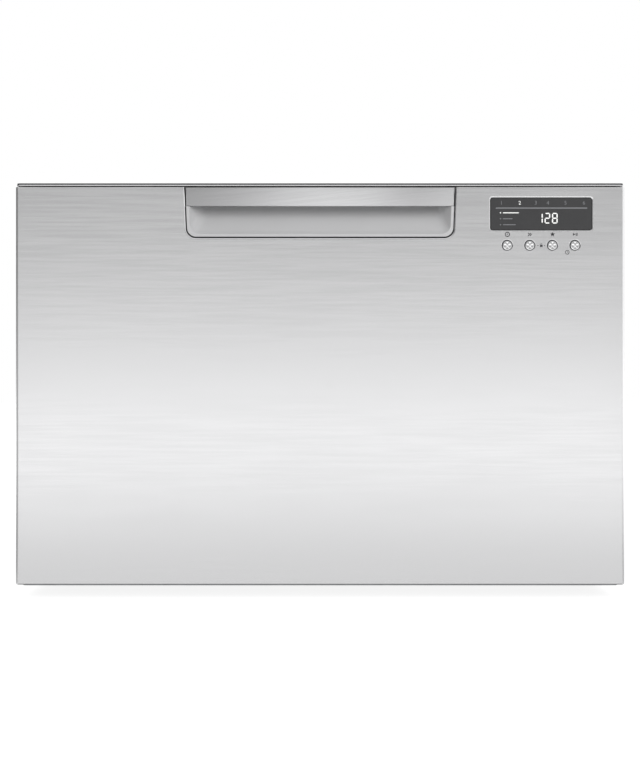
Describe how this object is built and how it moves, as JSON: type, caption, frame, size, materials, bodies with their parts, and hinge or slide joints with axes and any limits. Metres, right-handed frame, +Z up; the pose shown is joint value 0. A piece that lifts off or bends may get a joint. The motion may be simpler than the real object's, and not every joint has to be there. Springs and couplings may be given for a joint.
{
  "type": "dishwasher drawer",
  "caption": "Built-in dishwasher drawer: brushed steel front with scooped handle recess, display and push buttons; wash tub on runners in a sheet chassis.",
  "frame": {"origin": "on the floor, below the middle of the appliance's overall box", "axes": "+Z up, the front panel faces -Y, +X to the right of someone who faces the panel"},
  "size_m": [0.599, 0.573, 0.409],
  "materials": {
    "brushed_steel": "fine horizontal brushing",
    "satin_trim": "satin",
    "silver_plastic": "silver paint, satin",
    "dark_glass": "gloss, printed and lit from behind",
    "charcoal_plastic": "fine grain",
    "zinc_sheet": "galvanised",
    "grey_tub": "smooth moulded",
    "pale_lid": "smooth moulded",
    "coated_wire": "nylon coated",
    "rubber": "matte",
    "black_plastic": "fine grain",
    "circuit_board": "satin",
    "motor_windings": "varnished",
    "stainless_plate": "satin",
    "white_plastic": "semi gloss"
  },
  "bodies": {
    "chassis": {"base_pan": "zinc_sheet", "top_panel": "zinc_sheet", "rear_panel": "zinc_sheet", "left_side_panel": "zinc_sheet", "right_side_panel": "zinc_sheet", "left_outer_rail": "zinc_sheet", "right_outer_rail": "zinc_sheet", "left_lid_actuator": "black_plastic", "right_lid_actuator": "black_plastic", "inlet_valve": "white_plastic", "drain_outlet": "black_plastic", "mains_box": "black_plastic"},
    "lid": {"lid_panel": "pale_lid", "lid_seal": "rubber", "left_lid_rod": "white_plastic", "right_lid_rod": "white_plastic"},
    "left_middle_rail": {"left_middle_rail": "zinc_sheet"},
    "right_middle_rail": {"right_middle_rail": "zinc_sheet"},
    "drawer": {"tub": "grey_tub", "left_inner_rail": "zinc_sheet", "right_inner_rail": "zinc_sheet", "left_runner_bracket": "zinc_sheet", "right_runner_bracket": "zinc_sheet", "front_skin": "brushed_steel", "top_trim": "satin_trim", "edge_strip": "rubber", "front_frame": "charcoal_plastic", "handle_scoop": "silver_plastic", "handle_bar": "brushed_steel", "display_window": "dark_glass", "display_board": "circuit_board", "pump_housing": "black_plastic", "motor_stator": "motor_windings", "heater_ring": "stainless_plate", "filter_plate": "stainless_plate", "controller_box": "black_plastic", "lower_rack": "coated_wire", "cutlery_basket": "charcoal_plastic", "dispenser_housing": "charcoal_plastic", "fan_housing": "black_plastic"},
    "left_front_foot": {"left_front_foot": "black_plastic"},
    "left_rear_foot": {"left_rear_foot": "black_plastic"},
    "right_front_foot": {"right_front_foot": "black_plastic"},
    "right_rear_foot": {"right_rear_foot": "black_plastic"},
    "power_button": {"power_button": "satin_trim"},
    "program_button": {"program_button": "satin_trim"},
    "option_button": {"option_button": "satin_trim"},
    "start_button": {"start_button": "satin_trim"},
    "pump_rotor": {"pump_rotor": "white_plastic"},
    "spray_arm": {"spray_arm": "charcoal_plastic"},
    "drain_filter": {"drain_filter": "charcoal_plastic"},
    "tine_row_1": {"tine_row_1": "coated_wire"},
    "tine_row_2": {"tine_row_2": "coated_wire"},
    "tine_row_3": {"tine_row_3": "coated_wire"},
    "tine_row_4": {"tine_row_4": "coated_wire"},
    "left_cup_rack": {"left_cup_rack": "coated_wire"},
    "right_cup_rack": {"right_cup_rack": "coated_wire"},
    "dispenser_flap": {"dispenser_flap": "white_plastic"},
    "rinse_cap": {"rinse_cap": "white_plastic"},
    "fan_rotor": {"fan_rotor": "white_plastic"}
  },
  "joints": [
    {"name": "drawer_slide", "type": "slide", "parent": "chassis", "child": "drawer", "axis": [0, -1, 0], "range_m": [0, 0.52]},
    {"name": "left_middle_slide", "type": "slide", "parent": "chassis", "child": "left_middle_rail", "axis": [0, -1, 0], "range_m": [0, 0.26]},
    {"name": "right_middle_slide", "type": "slide", "parent": "chassis", "child": "right_middle_rail", "axis": [0, -1, 0], "range_m": [0, 0.26]},
    {"name": "lid_lift", "type": "slide", "parent": "chassis", "child": "lid", "axis": [0, 0, 1], "range_m": [-0.0057, 0]},
    {"name": "left_front_foot_adjust", "type": "slide", "parent": "chassis", "child": "left_front_foot", "axis": [0, 0, -1], "range_m": [0, 0.045]},
    {"name": "left_rear_foot_adjust", "type": "slide", "parent": "chassis", "child": "left_rear_foot", "axis": [0, 0, -1], "range_m": [0, 0.045]},
    {"name": "right_front_foot_adjust", "type": "slide", "parent": "chassis", "child": "right_front_foot", "axis": [0, 0, -1], "range_m": [0, 0.045]},
    {"name": "right_rear_foot_adjust", "type": "slide", "parent": "chassis", "child": "right_rear_foot", "axis": [0, 0, -1], "range_m": [0, 0.045]},
    {"name": "power_button_press", "type": "slide", "parent": "drawer", "child": "power_button", "axis": [0, 1, 0], "range_m": [0, 0.001], "stiffness_N_per_m": 600},
    {"name": "program_button_press", "type": "slide", "parent": "drawer", "child": "program_button", "axis": [0, 1, 0], "range_m": [0, 0.001], "stiffness_N_per_m": 600},
    {"name": "option_button_press", "type": "slide", "parent": "drawer", "child": "option_button", "axis": [0, 1, 0], "range_m": [0, 0.001], "stiffness_N_per_m": 600},
    {"name": "start_button_press", "type": "slide", "parent": "drawer", "child": "start_button", "axis": [0, 1, 0], "range_m": [0, 0.001], "stiffness_N_per_m": 600},
    {"name": "pump_rotor_spin", "type": "hinge", "parent": "drawer", "child": "pump_rotor", "pos_m": [0, -0.005, 0.06], "axis": [0, 0, 1], "continuous": true},
    {"name": "spray_arm_spin", "type": "hinge", "parent": "drawer", "child": "spray_arm", "pos_m": [0, -0.005, 0.088], "axis": [0, 0, 1], "continuous": true},
    {"name": "drain_filter_twist", "type": "hinge", "parent": "drawer", "child": "drain_filter", "pos_m": [0.118, -0.095, 0.07], "axis": [0, 0, 1], "range_deg": [0, 90]},
    {"name": "tine_row_1_fold", "type": "hinge", "parent": "drawer", "child": "tine_row_1", "pos_m": [-0.165, -0.03, 0.1115], "axis": [0, 1, 0], "range_deg": [0, 80]},
    {"name": "tine_row_2_fold", "type": "hinge", "parent": "drawer", "child": "tine_row_2", "pos_m": [-0.055, -0.03, 0.1115], "axis": [0, 1, 0], "range_deg": [0, 80]},
    {"name": "tine_row_3_fold", "type": "hinge", "parent": "drawer", "child": "tine_row_3", "pos_m": [0.055, -0.03, 0.1115], "axis": [0, 1, 0], "range_deg": [0, 80]},
    {"name": "tine_row_4_fold", "type": "hinge", "parent": "drawer", "child": "tine_row_4", "pos_m": [0.165, -0.03, 0.1115], "axis": [0, 1, 0], "range_deg": [0, 80]},
    {"name": "right_cup_rack_fold", "type": "hinge", "parent": "drawer", "child": "right_cup_rack", "pos_m": [0.234, -0.03, 0.25], "axis": [0, 1, 0], "range_deg": [0, 85]},
    {"name": "left_cup_rack_fold", "type": "hinge", "parent": "drawer", "child": "left_cup_rack", "pos_m": [-0.234, -0.03, 0.25], "axis": [0, -1, 0], "range_deg": [0, 85]},
    {"name": "dispenser_flap_open", "type": "hinge", "parent": "drawer", "child": "dispenser_flap", "pos_m": [0.011, -0.2363, 0.2336], "axis": [-1, 0, 0], "range_deg": [0, 80]},
    {"name": "rinse_cap_twist", "type": "hinge", "parent": "drawer", "child": "rinse_cap", "pos_m": [0.077, -0.236, 0.268], "axis": [0, 1, 0], "range_deg": [0, 90]},
    {"name": "fan_rotor_spin", "type": "hinge", "parent": "drawer", "child": "fan_rotor", "pos_m": [-0.17, -0.255, 0.215], "axis": [0, 1, 0], "continuous": true}
  ],
  "couplings": [
    {"joint": "left_middle_slide", "follows": "drawer_slide", "ratio": 0.5},
    {"joint": "right_middle_slide", "follows": "drawer_slide", "ratio": 0.5}
  ]
}
